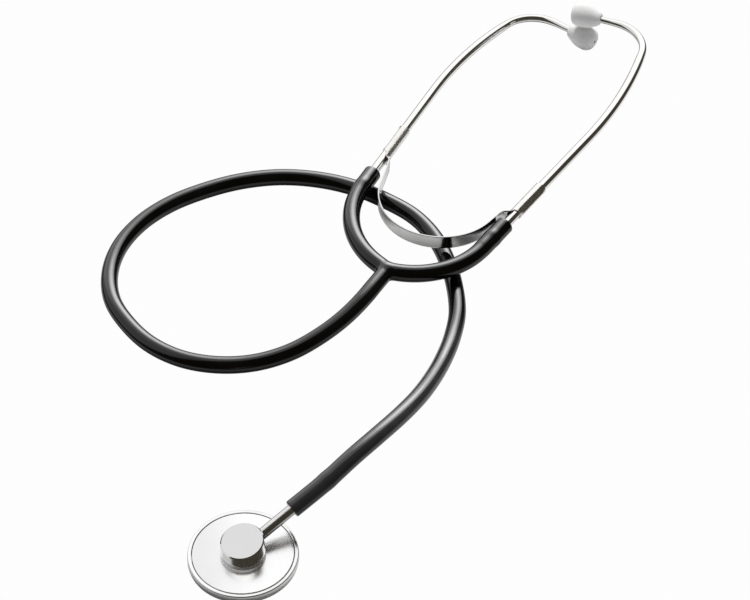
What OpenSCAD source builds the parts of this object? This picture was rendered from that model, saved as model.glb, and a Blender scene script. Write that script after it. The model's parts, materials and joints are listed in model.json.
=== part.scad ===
// Single-head stethoscope, laid out on a table: chest piece, tubing and headset.
// X runs towards the right ear tube, Y from the chest piece to the ear tips, Z is up.
// The origin is the middle of the diaphragm's face, which lies on the table.

/* [Chest piece] */
// Outer diameter of the knurled ring
ring_d = 48; // [44:0.5:54]
// Height of the ring and the plate above the table
head_h = 4.5; // [4:0.1:6.5]
// Width of the ring's top rim
rim_w = 1.75; // [1.4:0.05:2.5]
// Number of knurls round the ring
knurls = 150; // [60:10:180]
// How far the ring's lip reaches in under the diaphragm
lip_w = 1.75; // [1.2:0.05:3]
// Thickness of the ring's lip under the diaphragm
lip_t = 0.7; // [0.5:0.05:1]
// Height of the ring's underside above the diaphragm's face
ring_lift = 0.25; // [0.1:0.05:0.4]
// Thickness of the diaphragm
diaphragm_t = 0.3; // [0.2:0.05:0.5]
// Thickness of the plate at its middle
plate_t = 1.2; // [0.9:0.05:1.6]
// Gap between the plate and the ring that screws round it
thread_gap = 0.08; // [0.05:0.01:0.2]

/* [Hub and stem] */
// Diameter of the hub at its widest
hub_d = 19.7; // [18:0.1:22]
// Slope of the hub's side from upright, in degrees
hub_draft = 4.5; // [0:0.5:7]
// Height of the hub at its middle
hub_h = 8.3; // [8:0.1:10]
// Tilt of the hub's top face, in degrees
hub_tilt = 8; // [4:1:12]
// Diameter of the narrower foot on which the hub stands
foot_d = 15.6; // [14:0.1:17]
// Height of the foot
foot_h = 1.8; // [1:0.1:2]
// Diameter of the spigot that holds the hub in the plate
spigot_d = 8; // [5:0.5:10]
// Outer diameter of the stem
stem_d = 5; // [4:0.1:5.2]
// Diameter of the sound passage through stem and hub
stem_bore = 2.8; // [2:0.1:3]
// Direction of the stem seen from above, in degrees
stem_turn = 68; // [60:1:74]
// Slope of the stem, in degrees
stem_rise = 17; // [15:0.5:20]
// Height of the stem's line over the plate's middle
stem_start_h = 2.2; // [2:0.1:3]
// Distance from the head's axis to the end of the hose
stem_reach = 26; // [22:0.5:30]
// Length of stem inside the hose
stem_grip = 20; // [12:1:24]
// Height of the stem's barb above its side
stem_barb = 0.35; // [0.1:0.05:0.6]

/* [Tubing] */
// Outer diameter of the hose and of the yoke's leg
hose_d = 8.2; // [7.6:0.1:8.4]
// Inner diameter of the tubing
hose_bore = 4.2; // [3.5:0.1:4.6]
// Place of the yoke's fork along Y
fork_y = 171.1; // [168:0.1:176]
// Length of the yoke's leg below the fork
leg_l = 12.3; // [9:0.1:16]
// How far the leg lies to the right of the headset's middle
leg_shift = 4; // [0:0.5:6]
// Outer diameter of the yoke's arms
arm_d = 8.4; // [8.3:0.1:8.6]
// Rise of the left arm where it leaves the fork, in degrees
rise_left = 16; // [10:0.5:20]
// Rise of the right arm where it leaves the fork, in degrees
rise_right = 17; // [10:0.5:20]
// Straight start of the left arm
lead_left = 6.8; // [4:0.1:9]
// Straight start of the right arm
lead_right = 3.6; // [3.4:0.1:7]
// Radius of the saddle between the two arms
saddle_r = 10; // [6:0.5:10]
// Outer diameter of an arm's end, stretched over its ear tube
cuff_d = 8.7; // [8.7:0.1:9.1]
// Outer diameter of the bulge over the ear tube's lower end
bulge_d = 9.1; // [9:0.1:9.8]

/* [Headset] */
// Place of the headset's middle along X
middle_x = -34.2; // [-36:0.1:-33]
// Distance between the ear tubes where they leave the yoke's arms
tube_gap = 74.4; // [70:0.1:80]
// Distance from the fork to the ends of the yoke's arms
arm_reach = 55.8; // [54:0.1:62]
// Outward lean of each ear tube's lower part, in degrees
lean = 5.4; // [3:0.1:7]
// Outer diameter of the ear tubes
tube_d = 4.8; // [4.4:0.1:5]
// Outer diameter of the tubes round their top bend
bend_d = 4.1; // [3.8:0.1:4.3]
// Outer diameter of the tubes inside the ear tips
end_d = 3.5; // [3.2:0.1:3.7]
// Wall of the ear tubes
tube_wall = 0.6; // [0.4:0.05:0.8]
// Length of ear tube inside the yoke's arm
tube_grip = 11.5; // [8:0.5:14]
// Straight length of the ear tubes above the arm
straight_l = 72; // [66:1:78]
// Radius of the long bend
bow_r = 210; // [180:5:260]
// Turn of the long bend, in degrees
bow_turn = 18; // [16:0.1:19]
// Radius of the top bend
crook_r = 19.5; // [17:0.5:21]
// Turn of the top bend, in degrees
crook_turn = 85; // [82:0.5:90]
// Length of each step down in the tube's diameter
step_l = 3; // [2:0.5:4]
// Straight end of the tube as far as the ear tip
end_l = 9; // [8:0.5:10]

/* [Leaf spring] */
// Height of the spring's strip
strip_h = 7.5; // [6:0.1:7.8]
// Thickness of the strip
strip_t = 0.6; // [0.5:0.05:1]
// Distance from the bottom of the spring to the ends of the yoke's arms
spring_low = 30.1; // [28:0.1:32]
// How far the spring's bottom lies to the right of the headset's middle
spring_shift = 1.2; // [0.8:0.1:1.6]
// Radius of the spring's bottom bend
spring_r = 30.5; // [30:0.1:31]
// Radius of the two small bends that lead each end of the spring to its tube
spring_step_r = 7; // [6:0.5:8]
// Turn of each of the small bends, in degrees
spring_step_turn = 31; // [29:0.5:33]
// Distance from the left arm's end to the sleeve on its ear tube
sleeve_up_left = 14.3; // [9:0.1:16]
// Distance from the right arm's end to the sleeve on its ear tube
sleeve_up_right = 8.2; // [8:0.1:16]
// Length of the sleeve
sleeve_l = 22; // [14:1:26]

/* [Ear tips] */
// Largest diameter of the ear tips
tip_d = 12.9; // [12:0.1:13.2]
// Length of the ear tips
tip_l = 16; // [14:0.5:17]
// Length of the flare from the neck to the widest place
tip_flare = 10; // [8:0.5:11]
// Wall of the tip at its neck
neck_wall = 1.2; // [0.8:0.05:1.5]
// Length of ear tube inside the tip
tip_grip = 9; // [6:0.5:10]
// Height of the right tip over the left one
tips_apart = 1.2; // [0.3:0.1:2]
// Diameter of the sound hole in the tip
sound_d = 2; // [1.5:0.1:2.5]

/* [Hidden] */
$fn = 72;

// Clearances: a piece pressed in place, a piece that turns on another, and soft or loose neighbours
press_gap = 0.02;
turn_gap = 0.05;
loose_gap = 0.3;

// Straight runs of a bent tube are this much fuller than its bends, and reach this far into them
seam = 0.02;
seam_l = 0.1;

// Chest piece
bore_r = ring_d / 2 - rim_w;
opening_r = bore_r - lip_w;
plate_r = bore_r - thread_gap;
lip_top = ring_lift + lip_t;
flange_top = lip_top + turn_gap + diaphragm_t;
seat_z = flange_top + turn_gap;
seat_w = 2.4;
ring_edge = 0.5;
knurl_depth = 0.3;
knurl_margin = 0.7;
bell_step = 0.8;

// A point on the stem's line, at a distance along it from the head's axis
function stem_point(d) = [
    d * cos(stem_rise) * cos(stem_turn),
    d * cos(stem_rise) * sin(stem_turn),
    head_h + stem_start_h + d * sin(stem_rise)
];
stem_hose = stem_reach / cos(stem_rise);
stem_inner = stem_d;
passage_gap = 0.4;
stem_end = stem_hose + stem_grip;

// The headset lies over the hose, with the left arm's bulge on top of it
lay_z = hose_d + bulge_d / 2 + 2 * loose_gap;
fork = [middle_x + leg_shift, fork_y];
leg_end_y = fork_y - leg_l;
arm_end_y = fork_y + arm_reach;
half_gap = tube_gap / 2;

// Bend radius and straight run of an arm that ends w beside and h beyond the fork
function arm_bend(w, h, rise, lead) =
    let (
        a = cos(lean) - sin(rise), b = sin(lean),
        c = cos(rise) - sin(lean), d = cos(lean),
        e = w - lead * cos(rise), f = h - lead * sin(rise)
    )
    [(e * d - b * f) / (a * d - b * c), (a * f - c * e) / (a * d - b * c)];
bend_left = arm_bend(half_gap + leg_shift, arm_reach, rise_left, lead_left);
bend_right = arm_bend(half_gap - leg_shift, arm_reach, rise_right, lead_right);

// Centre line of an ear tube from the arm's end: straight pieces [length, 0] and bends [radius, turn]
tube_line = [[straight_l, 0], [bow_r, bow_turn], [step_l, 0], [crook_r, crook_turn], [end_l, 0]];
all_turn = bow_turn + crook_turn;
tip_middle = end_l + tip_flare;
tip_y = straight_l + bow_r * sin(bow_turn) + step_l * cos(bow_turn)
    + crook_r * (sin(all_turn) - sin(bow_turn)) + tip_middle * cos(all_turn);

// The left ear tip rests on the table and the right one lies just over it
tip_z_left = tip_d / 2 + 0.05;
tip_z_right = tip_z_left + tip_d + tips_apart;
pitch_left = asin((tip_z_left - lay_z) / (bend_left[1] + tip_y));
pitch_right = asin((tip_z_right - lay_z) / (bend_right[1] + tip_y));

// Leaf spring: on each side a line touches its bottom bend and the first of two small bends, which
// lead it over to the tube
sleeve_r = tube_d / 2 + seam + press_gap;
strip_side = sleeve_r + turn_gap + strip_t / 2;
step_way = 90 - lean - spring_step_turn;

// Turn of the bottom bend and straight run of the half whose sleeve is this far up a tube w away
function spring_half(w, up) =
    let (
        side = strip_side + spring_step_r,
        second_x = w + (up - press_gap) * sin(lean) - side * cos(lean),
        second_y = spring_low + (up - loose_gap) * cos(lean) + side * sin(lean),
        dx = second_x + 2 * spring_step_r * sin(step_way),
        dy = second_y - 2 * spring_step_r * cos(step_way) - spring_r,
        fuller = spring_r + spring_step_r,
        apart = norm([dx, dy])
    )
    [atan2(dy, dx) + asin(fuller / apart), sqrt(apart * apart - fuller * fuller)];
spring_left = spring_half(half_gap + spring_shift, sleeve_up_left);
spring_right = spring_half(half_gap - spring_shift, sleeve_up_right);

// Route of the hose from the yoke's leg, round its loop and under both arms, to the stem
hose_floor = hose_d / 2;
hose_route = concat(
    [
        [fork[0], leg_end_y, lay_z], [-30.5, 149, 12.8], [-32.7, 137, 10.7], [-37.5, 123, 8.2],
        [-45, 108.5, 6.1], [-56, 96, 4.6], [-70, 86.5, 4.1], [-86, 81, 4.1], [-104, 81, 4.1],
        [-121, 86.5, 4.1], [-136, 95.5, 4.1], [-147, 109, 4.1], [-153.5, 126, 4.1],
        [-154.5, 144, 4.1], [-150, 163, 4.1], [-141, 180, 4.1], [-129, 195.5, 4.1],
        [-114, 208, 4.1], [-96, 216.5, 4.1], [-78, 220.5, 4.1], [-60, 220.5, 4.1],
        [-43, 218, 4.1], [-27, 210.5, 4.1], [-13.5, 199.5, 4.1], [-2, 186.5, 4.1],
        [8, 171.5, 4.1], [14, 156, 4.7], [18.5, 140, 7.5], [22, 124, 11.7], [24.5, 106.5, 16.7],
        [25, 90, 20.8], [23.5, 72.5, 23.3], [20.5, 56, 23.2]
    ],
    [stem_point(stem_end), stem_point(stem_hose)]
);
hose_sides = 12;

// Pieces that follow a line in the XY plane: the child is the cross-section, X sideways and Y up
module straight(length) {
    translate([0, length, 0]) rotate([90, 0, 0]) linear_extrude(length) children();
}

module bend(radius, turn) {
    translate([-radius, 0, 0]) rotate_extrude(angle = turn, $fn = 180) translate([radius, 0]) children();
}

// Places its child at the end of the first count pieces of a line
module along(line, count, i = 0) {
    if (i < count && line[i][1] == 0)
        translate([0, line[i][0], 0]) along(line, count, i + 1) children();
    else if (i < count)
        translate([-line[i][0], 0, 0]) rotate([0, 0, line[i][1]]) translate([line[i][0], 0, 0])
            along(line, count, i + 1) children();
    else
        children();
}

// A round straight run between two bends, or tapering from one radius to the other
module tube_run(length, r_from, r_to) {
    slope = (r_to - r_from) / length * seam_l;
    translate([0, -seam_l, 0]) rotate([-90, 0, 0])
        cylinder(h = length + 2 * seam_l, r1 = r_from + seam - slope, r2 = r_to + seam + slope);
}

// Chest piece
module head_plate() {
    inner_r = plate_r - seat_w;
    color("gainsboro") rotate_extrude($fn = 180) polygon([
        [spigot_d / 2, head_h - plate_t], [inner_r - bell_step, head_h - plate_t - 0.4],
        [inner_r, seat_z], [plate_r, seat_z], [plate_r, head_h - 0.2], [plate_r - 0.2, head_h],
        [spigot_d / 2, head_h]
    ]);
}

module ring_body() {
    rotate_extrude($fn = 180) polygon([
        [opening_r, ring_lift], [ring_d / 2 - ring_edge, ring_lift],
        [ring_d / 2 - knurl_depth, ring_lift + ring_edge], [ring_d / 2 - knurl_depth, head_h - ring_edge],
        [ring_d / 2 - ring_edge, head_h - 0.15], [ring_d / 2 - ring_edge - 0.3, head_h],
        [bore_r + 0.15, head_h], [bore_r, head_h - 0.15], [bore_r, lip_top], [opening_r, lip_top]
    ]);
}

module knurled_band() {
    step = 180 / knurls;
    translate([0, 0, ring_lift + knurl_margin])
        linear_extrude(head_h - ring_lift - 2 * knurl_margin)
            difference() {
                polygon([
                    for (i = [0 : 2 * knurls - 1])
                        (ring_d / 2 - (i % 2) * knurl_depth * 0.8) * [cos(i * step), sin(i * step)]
                ]);
                circle(r = bore_r + 0.4, $fn = 180);
            }
}

module retaining_ring() {
    color("silver") union() {
        ring_body();
        knurled_band();
    }
}

module diaphragm() {
    face_r = opening_r - loose_gap;
    flange_r = bore_r - 3 * turn_gap;
    color("whitesmoke") rotate_extrude($fn = 180) polygon([
        [0, 0], [face_r, 0], [face_r, lip_top + turn_gap], [flange_r, lip_top + turn_gap],
        [flange_r, flange_top], [face_r - diaphragm_t, flange_top],
        [face_r - diaphragm_t, diaphragm_t], [0, diaphragm_t]
    ]);
}

// Hub and stem: the child is drawn along the stem's line, X being the way the line runs
module on_stem_line(d) {
    translate(stem_point(d)) rotate([0, -stem_rise, stem_turn]) rotate([0, 90, 0]) children();
}

module hub() {
    tall = hub_h + hub_d;
    color("lightgray") difference() {
        union() {
            translate([0, 0, head_h]) cylinder(h = foot_h + 1, r = foot_d / 2);
            translate([0, 0, head_h + foot_h])
                cylinder(h = tall, r1 = hub_d / 2, r2 = hub_d / 2 - tall * tan(hub_draft), $fn = 144);
            translate([0, 0, head_h - plate_t]) cylinder(h = plate_t + 1, r = spigot_d / 2 - press_gap);
        }
        translate([0, 0, head_h + hub_h]) rotate([0, -hub_tilt, stem_turn])
            translate([-hub_d, -hub_d, 0]) cube(2 * hub_d);
        on_stem_line(stem_inner) cylinder(h = hub_d, r = stem_d / 2 + press_gap);
        on_stem_line(-passage_gap) cylinder(h = hub_d / 2, r = stem_bore / 2);
        translate([0, 0, head_h - plate_t - 1])
            cylinder(h = plate_t + 1 + stem_start_h + stem_bore / 2, r = stem_bore / 2 + passage_gap / 2);
    }
}

module stem() {
    tip = stem_d / 2;
    length = stem_end - stem_inner;
    color("silver") on_stem_line(stem_inner + press_gap) rotate_extrude() polygon([
        [stem_bore / 2, 0], [tip, 0], [tip, length - 4], [tip + stem_barb, length - 3],
        [tip + stem_barb, length - 2], [tip - 0.4, length], [stem_bore / 2, length]
    ]);
}

// Hose: rings of points square to the route, joined into one closed skin
function unit(v) = v / norm(v);

function route_way(i) =
    i == 0 ? [0, -1, 0]
    : i == len(hose_route) - 1 ? unit(hose_route[i] - hose_route[i - 1])
    : unit(hose_route[i + 1] - hose_route[i - 1]);

function hose_ring(i) =
    let (way = route_way(i), side = unit(cross(way, [0, 0, 1])), top = cross(side, way))
    [
        for (k = [0 : hose_sides - 1])
            let (a = 360 * k / hose_sides) hose_route[i] + hose_floor * (cos(a) * side + sin(a) * top)
    ];

module hose() {
    rings = len(hose_route);
    points = [for (i = [0 : rings - 1]) each hose_ring(i)];
    skin = [
        for (i = [0 : rings - 2], k = [0 : hose_sides - 1])
            let (
                next = (k + 1) % hose_sides,
                a = i * hose_sides + k, b = i * hose_sides + next,
                c = a + hose_sides, d = b + hose_sides
            )
            each [[a, b, d], [a, d, c]]
    ];
    first = [for (k = [0 : hose_sides - 1]) hose_sides - 1 - k];
    last = [for (k = [0 : hose_sides - 1]) (rings - 1) * hose_sides + k];
    color("dimgray") polyhedron(points = points, faces = concat(skin, [first, last]), convexity = 6);
}

// Each half of the headset is drawn as the right one, with its origin at the arm's end and Y up the tube
module right_half() {
    run = bend_right[1];
    translate([middle_x + half_gap - run * sin(lean), arm_end_y - run * cos(lean), lay_z])
        rotate([pitch_right, 0, -lean]) translate([0, run, 0]) children();
}

module left_half() {
    run = bend_left[1];
    translate([middle_x - half_gap + run * sin(lean), arm_end_y - run * cos(lean), lay_z])
        rotate([pitch_left, 0, lean]) mirror([1, 0, 0]) translate([0, run, 0]) children();
}

// One arm from the fork outwards, drawn as the right one
module arm_line(rise, lead, radius, r) {
    saddle = saddle_r * tan((rise_left + rise_right) / 2);
    rotate([0, 0, rise - 90]) {
        translate([0, saddle, 0]) tube_run(lead - saddle, r, r);
        translate([0, lead, 0]) bend(radius, 90 - rise - lean) circle(r = r);
    }
}

// Both arms and the saddle that joins them
module arms(r) {
    saddle = saddle_r * tan((rise_left + rise_right) / 2);
    translate([fork[0], fork[1], lay_z]) {
        arm_line(rise_right, lead_right, bend_right[0], r);
        mirror([1, 0, 0]) arm_line(rise_left, lead_left, bend_left[0], r);
        rotate([0, 0, -90 - rise_left]) translate([0, -saddle, 0])
            bend(saddle_r, rise_left + rise_right) circle(r = r);
    }
}

module leg(length, r) {
    translate([fork[0], fork[1] - length, lay_z]) straight(length) circle(r = r);
}

// The straight end of an arm, with the bulge over the lower end of the ear tube
module cuff(run_l) {
    start_r = arm_d / 2 - loose_gap;
    cuff_r = cuff_d / 2;
    bulge_y = -tube_grip;
    rotate([-90, 0, 0]) rotate_extrude() polygon([
        [0, -run_l - 3], [start_r, -run_l - 3], [cuff_r, -run_l - 0.5], [cuff_r, bulge_y - 1.5],
        [bulge_d / 2, bulge_y + 0.5], [bulge_d / 2, bulge_y + 1], [cuff_r, bulge_y + 3],
        [cuff_r, -0.4], [cuff_r - 0.4, 0], [0, 0]
    ]);
}

module cuff_bore(run_l) {
    bore_r = (hose_bore + arm_d - hose_d) / 2 + 2 * seam;
    seat_r = tube_d / 2 + turn_gap;
    translate([0, -run_l - 0.5, 0]) straight(run_l + 1) circle(r = bore_r);
    translate([0, -tube_grip - loose_gap, 0]) straight(tube_grip + loose_gap + 1) circle(r = seat_r);
}

module yoke() {
    color("dimgray") difference() {
        union() {
            arms(arm_d / 2);
            leg(leg_l, hose_d / 2);
            right_half() cuff(bend_right[1]);
            left_half() cuff(bend_left[1]);
        }
        arms((hose_bore + arm_d - hose_d) / 2);
        leg(leg_l + 1, hose_bore / 2);
        right_half() cuff_bore(bend_right[1]);
        left_half() cuff_bore(bend_left[1]);
    }
}

// Leaf spring: one half of its line, drawn as the right one, as [x, y, direction] from its bottom
function strip_line(turn, run) =
    let (
        first_x = (spring_r + spring_step_r) * sin(turn) + run * cos(turn),
        first_y = spring_r - (spring_r + spring_step_r) * cos(turn) + run * sin(turn),
        second_x = first_x - 2 * spring_step_r * sin(step_way),
        second_y = first_y + 2 * spring_step_r * cos(step_way)
    )
    concat(
        [
            for (i = [0 : 14])
                let (a = turn * i / 14) [spring_r * sin(a), spring_r * (1 - cos(a)), a]
        ],
        [
            for (i = [0 : 5])
                let (a = turn + (step_way - turn) * i / 5)
                    [first_x - spring_step_r * sin(a), first_y + spring_step_r * cos(a), a]
        ],
        [
            for (i = [1 : 5])
                let (a = step_way + spring_step_turn * i / 5)
                    [second_x + spring_step_r * sin(a), second_y - spring_step_r * cos(a), a]
        ]
    );

// One face of the strip, from the bottom to the end on the given side, 1 for right and -1 for left
function strip_face(shift, side) =
    let (half = side > 0 ? spring_right : spring_left)
    [
        for (p = strip_line(half[0], half[1]))
            [side * (p[0] + shift * sin(p[2])), p[1] - shift * cos(p[2])]
    ];

function from_second(list) = [for (i = [1 : len(list) - 1]) list[i]];

function backwards(list) = [for (i = [1 : len(list)]) list[len(list) - i]];

// The whole strip stands on edge, bent to a U, and ends beside the two sleeves
module leaf_spring() {
    outer = strip_t / 2;
    color("darkgray") translate([middle_x + spring_shift, arm_end_y - spring_low, lay_z - strip_h / 2])
        linear_extrude(strip_h) polygon(concat(
            backwards(strip_face(outer, -1)), from_second(strip_face(outer, 1)),
            backwards(strip_face(-outer, 1)), from_second(strip_face(-outer, -1))
        ));
}

module sleeve(up) {
    translate([0, up, 0]) straight(sleeve_l) difference() {
        circle(r = sleeve_r + strip_t);
        circle(r = sleeve_r);
    }
}

module spring_sleeve_right() {
    color("darkgray") right_half() sleeve(sleeve_up_right);
}

module spring_sleeve_left() {
    color("darkgray") left_half() sleeve(sleeve_up_left);
}

// Ear tube: radii shrink by inset for the bore, which runs past both ends
module tube_body(inset) {
    past = inset > 0 ? 1 : 0;
    tube_r = tube_d / 2 - inset;
    bend_r = bend_d / 2 - inset;
    end_r = end_d / 2 - inset;
    low = tube_grip + past;
    translate([0, -low + seam_l, 0]) tube_run(low + straight_l - seam_l, tube_r, tube_r);
    along(tube_line, 1) bend(bow_r, bow_turn) circle(r = tube_r);
    along(tube_line, 2) tube_run(step_l, tube_r, bend_r);
    along(tube_line, 3) bend(crook_r, crook_turn) circle(r = bend_r);
    along(tube_line, 4) tube_run(step_l, bend_r, end_r);
    along(tube_line, 4) translate([0, step_l, 0]) straight(end_l - step_l + tip_grip + past) circle(r = end_r);
}

module ear_tube() {
    difference() {
        tube_body(0);
        tube_body(tube_wall);
    }
}

module ear_tube_right() {
    color("silver") right_half() ear_tube();
}

module ear_tube_left() {
    color("silver") left_half() ear_tube();
}

// Ear tip: a flare from the neck, then a round dome, turned about its own axis
neck_r = end_d / 2 + neck_wall;
tip_steps = 10;
dome_power = 2.6;
function flare_r(t) = neck_r + (tip_d / 2 - neck_r) * sin(90 * t);
function dome_r(t) = tip_d / 2 * pow(1 - pow(t, dome_power), 1 / dome_power);

module ear_tip() {
    hole_r = sound_d / 2;
    flare = [for (i = [0 : tip_steps]) [flare_r(i / tip_steps), tip_flare * i / tip_steps]];
    dome = [
        for (i = [1 : tip_steps - 1])
            let (t = sin(90 * i / tip_steps)) [dome_r(t), tip_flare + (tip_l - tip_flare) * t]
    ];
    along(tube_line, 5) rotate([-90, 0, 0]) rotate_extrude() polygon(concat(
        flare, dome, [[hole_r, tip_l], [hole_r, tip_grip + loose_gap]],
        [[end_d / 2 + turn_gap, tip_grip + loose_gap], [end_d / 2 + turn_gap, 0]]
    ));
}

module ear_tip_right() {
    color("white") right_half() ear_tip();
}

module ear_tip_left() {
    color("white") left_half() ear_tip();
}

head_plate();
retaining_ring();
diaphragm();
hub();
stem();
hose();
yoke();
leaf_spring();
spring_sleeve_left();
spring_sleeve_right();
ear_tube_left();
ear_tube_right();
ear_tip_left();
ear_tip_right();
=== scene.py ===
import json
import math

import bmesh
import bpy
import numpy as np
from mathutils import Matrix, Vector

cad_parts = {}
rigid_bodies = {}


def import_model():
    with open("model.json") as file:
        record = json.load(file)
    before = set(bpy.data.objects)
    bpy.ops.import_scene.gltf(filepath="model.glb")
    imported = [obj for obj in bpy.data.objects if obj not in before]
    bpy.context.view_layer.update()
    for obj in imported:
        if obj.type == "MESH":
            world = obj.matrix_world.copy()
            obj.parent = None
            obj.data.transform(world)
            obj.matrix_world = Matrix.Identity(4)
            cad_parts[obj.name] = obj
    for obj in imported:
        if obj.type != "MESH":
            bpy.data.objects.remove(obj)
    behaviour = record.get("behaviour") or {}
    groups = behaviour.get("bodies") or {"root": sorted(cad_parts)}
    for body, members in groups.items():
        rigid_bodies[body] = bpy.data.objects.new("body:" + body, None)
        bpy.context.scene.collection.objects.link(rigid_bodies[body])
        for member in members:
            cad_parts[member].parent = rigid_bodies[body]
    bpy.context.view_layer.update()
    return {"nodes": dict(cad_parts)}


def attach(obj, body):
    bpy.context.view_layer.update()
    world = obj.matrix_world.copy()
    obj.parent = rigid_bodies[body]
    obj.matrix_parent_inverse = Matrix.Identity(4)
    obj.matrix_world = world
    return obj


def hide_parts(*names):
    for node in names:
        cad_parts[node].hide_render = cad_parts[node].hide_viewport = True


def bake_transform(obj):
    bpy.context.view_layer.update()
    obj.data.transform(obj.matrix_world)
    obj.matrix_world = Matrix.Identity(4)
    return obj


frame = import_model()
mm = 0.001
up = np.array([0.0, 0.0, 1.0])
print("frame loaded")


# Camera: fitted to the photograph, looking down on the table past the chest piece
cameraView = {
    "place": (387.3, -534.7, 833.8),
    "lookDown": 44.3,        # degrees away from straight down
    "turn": 31.0,            # degrees round the upright
    "lens": 117.9,           # on a 36 mm wide sensor
}


def makeCamera(view):
    camera = bpy.data.objects.new("camera", bpy.data.cameras.new("camera"))
    camera.location = Vector(view["place"]) * mm
    camera.rotation_euler = (math.radians(view["lookDown"]), 0, math.radians(view["turn"]))
    camera.data.lens = view["lens"]
    camera.data.sensor_width = 36
    camera.data.clip_start = 0.01
    camera.data.clip_end = 50
    bpy.context.scene.collection.objects.link(camera)
    bpy.context.scene.camera = camera


makeCamera(cameraView)
bpy.context.scene.view_settings.view_transform = "Standard"
print("camera made")


# Meshes
def makeMesh(name, points, faces):
    mesh = bpy.data.meshes.new(name)
    mesh.from_pydata([tuple(p) for p in np.array(points) * mm], [], faces)
    mesh.validate()
    mesh.polygons.foreach_set("use_smooth", [True] * len(mesh.polygons))
    mesh.update()
    piece = bpy.data.objects.new(name, mesh)
    bpy.context.scene.collection.objects.link(piece)
    return piece


def sharpEdges(piece, degrees):
    piece.data.set_sharp_from_angle(angle=math.radians(degrees))


# Faces between rings of equally many points; a loop also joins the last ring to the first
def gridFaces(rings, sides, loop=False):
    faces = []
    for i in range(rings if loop else rings - 1):
        low, high = i * sides, (i + 1) % rings * sides
        for k in range(sides):
            n = (k + 1) % sides
            faces.append((low + k, low + n, high + n, high + k))
    return faces


def firstCap(sides):
    return tuple(reversed(range(sides)))


def lastCap(rings, sides):
    return tuple(range((rings - 1) * sides, rings * sides))


def unit(v):
    return v / np.linalg.norm(v)


# A line of points with the distance along it, its way and a side that doesn't twist. Past its end it runs on
# straight.
class Path:
    def __init__(self, points, side=None):
        points = np.array(points, float)
        self.points = points
        steps = np.linalg.norm(np.diff(points, axis=0), axis=1)
        self.far = np.concatenate([[0], np.cumsum(steps)])
        ways = np.gradient(points, axis=0)
        self.ways = ways / np.linalg.norm(ways, axis=1)[:, None]
        self.ways[0] = unit(points[1] - points[0])
        self.ways[-1] = unit(points[-1] - points[-2])
        if side is None:
            side = np.cross(self.ways[0], up)
        side = np.array(side, float)
        self.sides = np.zeros_like(points)
        for i, way in enumerate(self.ways):
            side = unit(side - way * np.dot(side, way))
            self.sides[i] = side
        self.length = self.far[-1]

    def at(self, far):
        point, way, side = (
            np.array([np.interp(far, self.far, values[:, k]) for k in range(3)])
            for values in (self.points, self.ways, self.sides)
        )
        way = unit(way)
        side = unit(side - way * np.dot(side, way))
        if far > self.length:
            point = self.points[-1] + (far - self.length) * self.ways[-1]
        return point, way, side, np.cross(side, way)


# A smooth line through listed points, which leaves the first and reaches the last in the given directions
def smoothLine(points, startWay, endWay, step):
    points = np.array(points, float)
    chord = np.linalg.norm(np.diff(points, axis=0), axis=1)
    ways = np.zeros_like(points)
    for i in range(1, len(points) - 1):
        before = (points[i] - points[i - 1]) / chord[i - 1]
        after = (points[i + 1] - points[i]) / chord[i]
        ways[i] = (before * chord[i] + after * chord[i - 1]) / (chord[i] + chord[i - 1])
    ways[0], ways[-1] = startWay, endWay
    line = []
    for i, length in enumerate(chord):
        count = max(2, int(round(length / step)))
        for t in np.arange(count) / count:
            start = (2 * t**3 - 3 * t**2 + 1) * points[i] + (t**3 - 2 * t**2 + t) * length * ways[i]
            end = (3 * t**2 - 2 * t**3) * points[i + 1] + (t**3 - t**2) * length * ways[i + 1]
            line.append(start + end)
    line.append(points[-1])
    return np.array(line)


# Round skin along a path. The profile lists (distance along, radius), and may turn back inside for a bore
def sweep(name, path, profile, sides):
    points = []
    for far, radius in profile:
        point, _, side, top = path.at(far)
        for k in range(sides):
            a = 2 * math.pi * k / sides
            points.append(point + radius * (math.cos(a) * side + math.sin(a) * top))
    rings = len(profile)
    piece = makeMesh(name, points, gridFaces(rings, sides) + [firstCap(sides), lastCap(rings, sides)])
    sharpEdges(piece, 50)
    return piece


# Profile of a plain stretch, whose radius is a number or a function of the distance along
def along(start, end, step, radius):
    count = max(1, int(math.ceil(abs(end - start) / step)))
    fars = np.linspace(start, end, count + 1)
    return [(far, radius(far) if callable(radius) else radius) for far in fars]


# Profile of a rounded end, as a quarter circle that finishes at the given distance
def roundedEnd(end, radius, rounding, steps):
    profile = []
    for a in np.linspace(0, math.pi / 2, steps + 1)[1:]:
        profile.append((end - rounding + rounding * math.sin(a), radius - rounding + rounding * math.cos(a)))
    return profile


# From 0 at low to 1 at high, with a soft start and end
def ease(value, low, high):
    t = min(max((value - low) / (high - low), 0.0), 1.0)
    return t * t * (3 - 2 * t)


# Gentle bump of height 1 round zero
def swell(t):
    return math.exp(-t**2)


# The headset's layout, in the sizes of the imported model
headset = {
    "layHeight": 13.35,      # middle plane of the yoke above the table
    "fork": (-30.2, 171.1),
    "middle": -34.2,
    "halfGap": 37.2,         # from the middle to each arm's end
    "armReach": 55.8,        # from the fork to the arms' ends
    "lean": 5.4,             # degrees outward
    "legLength": 12.3,
    "armRadius": 4.2,
    "legRadius": 4.1,
    "saddleRadius": 10.0,
}
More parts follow.
